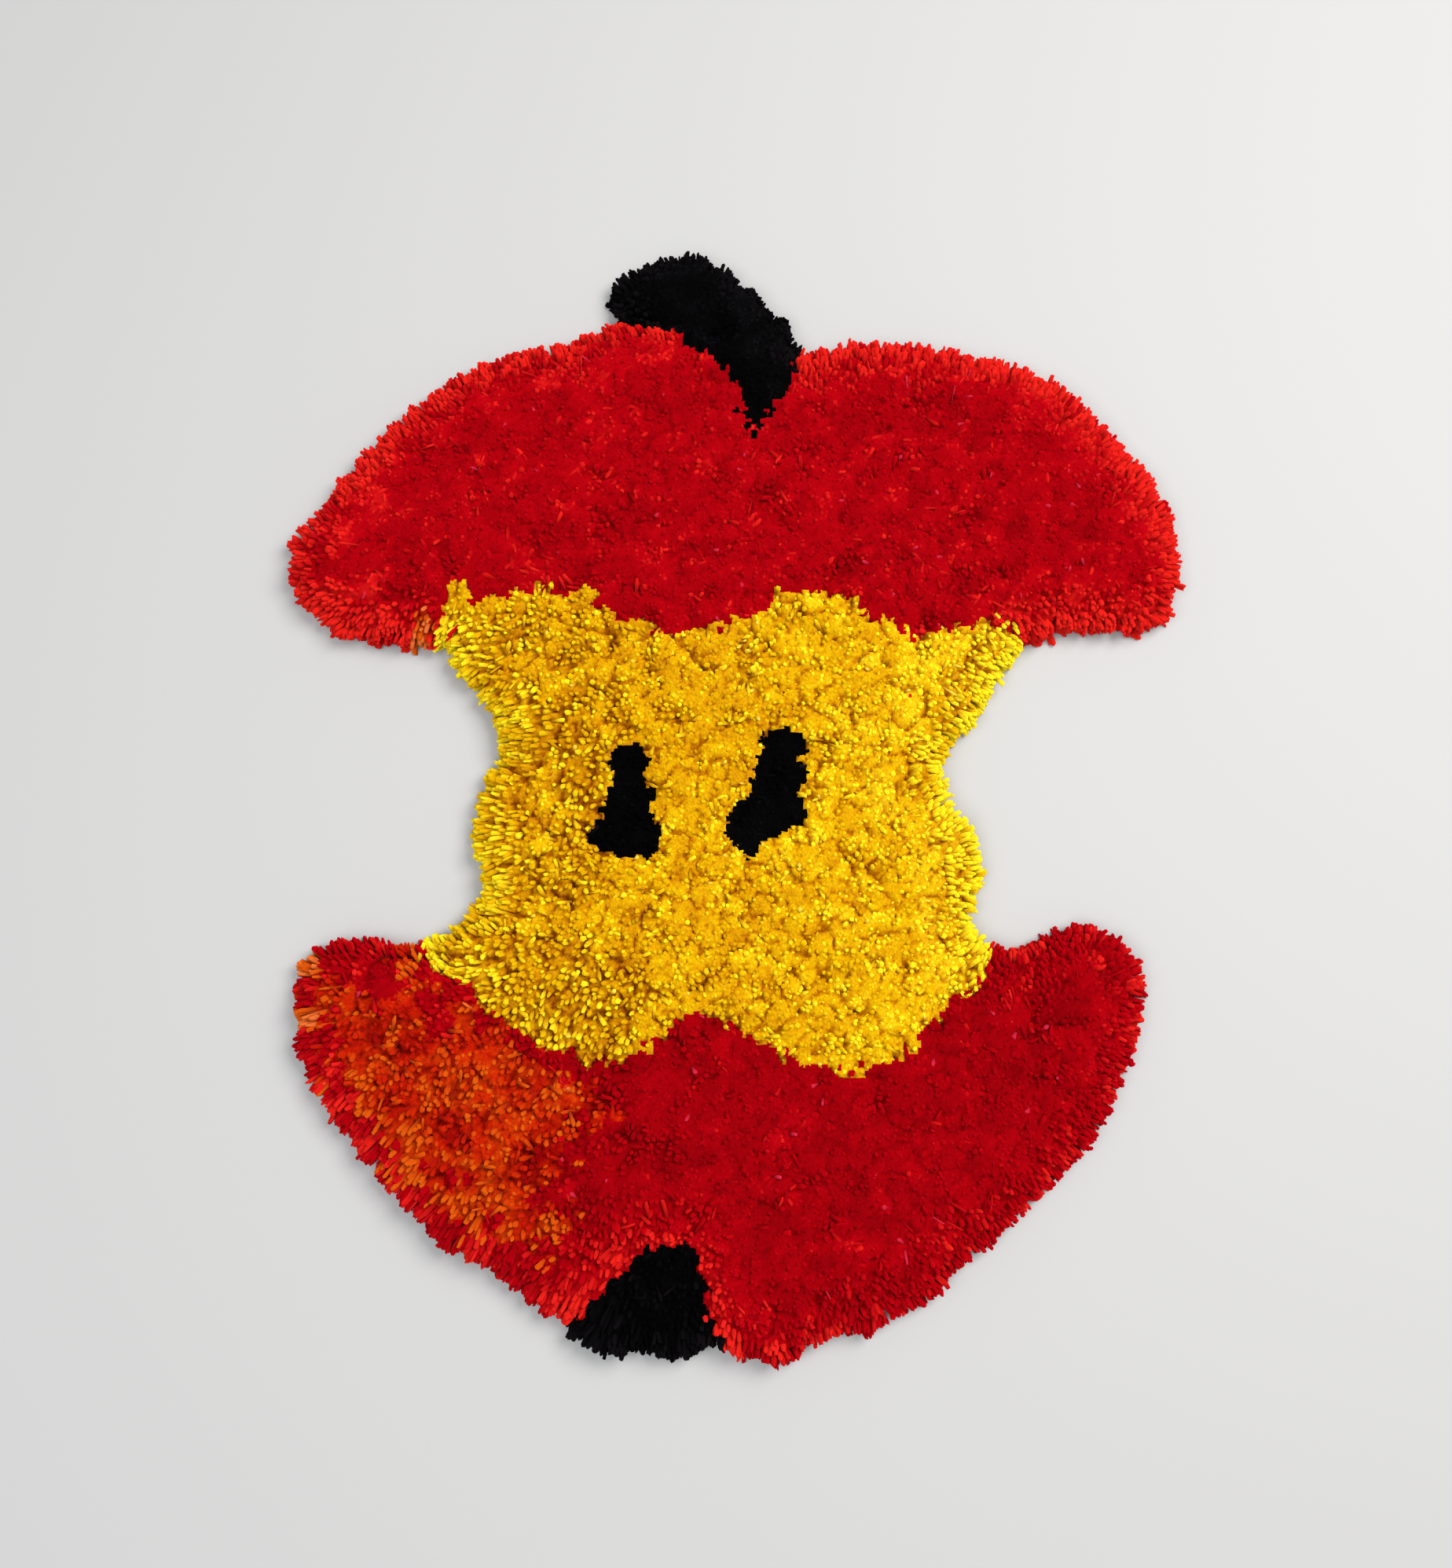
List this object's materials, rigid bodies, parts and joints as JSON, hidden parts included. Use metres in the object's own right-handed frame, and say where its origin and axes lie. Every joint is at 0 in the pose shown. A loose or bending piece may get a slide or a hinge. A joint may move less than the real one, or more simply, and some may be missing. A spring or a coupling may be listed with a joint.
{
  "type": "punch needle wall piece",
  "caption": "Shaggy cut-pile yarn wall piece in the shape of an eaten fruit core with stem and seeds, lying flat on its cloth back.",
  "frame": {"origin": "on the surface it lies on, under the middle of the piece's box", "axes": "+Z out of the pile, +Y towards the fruit's stem, +X to the viewer's right"},
  "size_m": [0.5548, 0.6772, 0.0279],
  "materials": {
    "red_yarn": "cut-pile rug yarn, matt and fuzzy",
    "yellow_yarn": "cut-pile rug yarn, matt and fuzzy",
    "black_yarn": "cut-pile rug yarn, matt and fuzzy",
    "orange_yarn": "cut-pile rug yarn, matt and fuzzy",
    "foundation_cloth": "plain cotton weave"
  },
  "bodies": {
    "root": {"shag_wall_piece": "red_yarn"}
  },
  "joints": []
}
